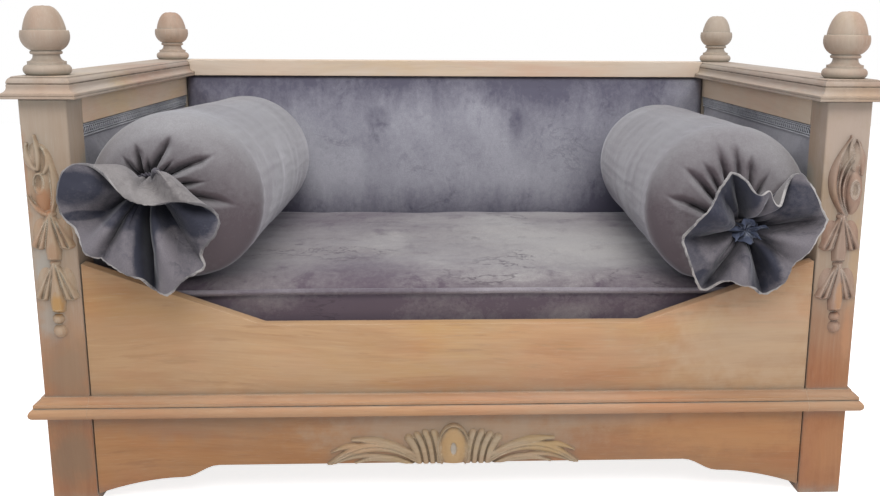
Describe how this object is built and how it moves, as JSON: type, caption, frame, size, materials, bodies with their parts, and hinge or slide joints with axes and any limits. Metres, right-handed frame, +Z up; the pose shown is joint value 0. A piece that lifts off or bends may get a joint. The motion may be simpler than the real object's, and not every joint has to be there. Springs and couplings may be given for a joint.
{
  "type": "dog sofa bed",
  "caption": "Square-post timber dog sofa bed with moulded arm caps, acorn finials, a dipped front board, padded arms and back, a loose box cushion and two tied bolsters.",
  "frame": {"origin": "middle of the whole bed's footprint, ruffles included, on the floor", "axes": "+X to the bed's right seen from the front, the open front faces -Y, +Z up"},
  "size_m": [0.991, 0.6704, 0.5835],
  "materials": {
    "timber": "limed mahogany, waxed, matt",
    "pale_timber": "heavily limed mahogany, matt",
    "carved_timber": "limed mahogany with lime left in the recesses",
    "inner_timber": "sawn softwood and plywood, unfinished",
    "velvet": "crushed velvet, grey mauve",
    "pad_velvet": "crushed velvet over padding, grey mauve",
    "braid": "grey scroll gimp",
    "steel": "zinc plated"
  },
  "bodies": {
    "frame": {"front_left_post": "timber", "front_right_post": "timber", "back_left_post": "timber", "back_right_post": "timber", "left_arm_cap": "pale_timber", "right_arm_cap": "pale_timber", "back_top_rail": "pale_timber", "front_left_finial": "pale_timber", "front_right_finial": "pale_timber", "back_left_finial": "pale_timber", "back_right_finial": "pale_timber", "finial_dowels": "inner_timber", "rail_dowels": "inner_timber", "front_board": "timber", "front_apron": "timber", "back_apron": "timber", "left_side_rail": "timber", "right_side_rail": "timber", "left_side_apron": "timber", "right_side_apron": "timber", "front_moulding": "timber", "left_post_moulding": "timber", "right_post_moulding": "timber", "left_side_moulding": "timber", "right_side_moulding": "timber", "left_arm_rail": "timber", "right_arm_rail": "timber", "back_upper_rail": "inner_timber", "back_lower_rail": "inner_timber", "left_arm_backing": "inner_timber", "right_arm_backing": "inner_timber", "back_backing": "inner_timber", "left_outer_panel": "pad_velvet", "right_outer_panel": "pad_velvet", "back_outer_panel": "pad_velvet", "left_arm_pad": "pad_velvet", "right_arm_pad": "pad_velvet", "back_pad": "pad_velvet", "left_gimp": "braid", "right_gimp": "braid", "seat_cleats": "inner_timber", "seat_slats": "inner_timber", "slat_screws": "steel", "corner_blocks": "inner_timber", "left_post_carving": "carved_timber", "right_post_carving": "carved_timber", "apron_carving": "carved_timber"},
    "seat": {"seat_cushion": "velvet", "seat_piping": "velvet"},
    "bolster_left": {"left_bolster": "velvet", "left_tie": "velvet", "left_ruffle": "velvet"},
    "bolster_right": {"right_bolster": "velvet", "right_tie": "velvet", "right_ruffle": "velvet"}
  },
  "joints": [
    {"name": "seat_lift", "type": "slide", "parent": "frame", "child": "seat", "axis": [0, 0, 1], "range_m": [0, 0.2]},
    {"name": "left_bolster_lift", "type": "slide", "parent": "seat", "child": "bolster_left", "axis": [0.342, 0, 0.9397], "range_m": [0, 0.2]},
    {"name": "right_bolster_lift", "type": "slide", "parent": "seat", "child": "bolster_right", "axis": [-0.342, 0, 0.9397], "range_m": [0, 0.2]}
  ]
}
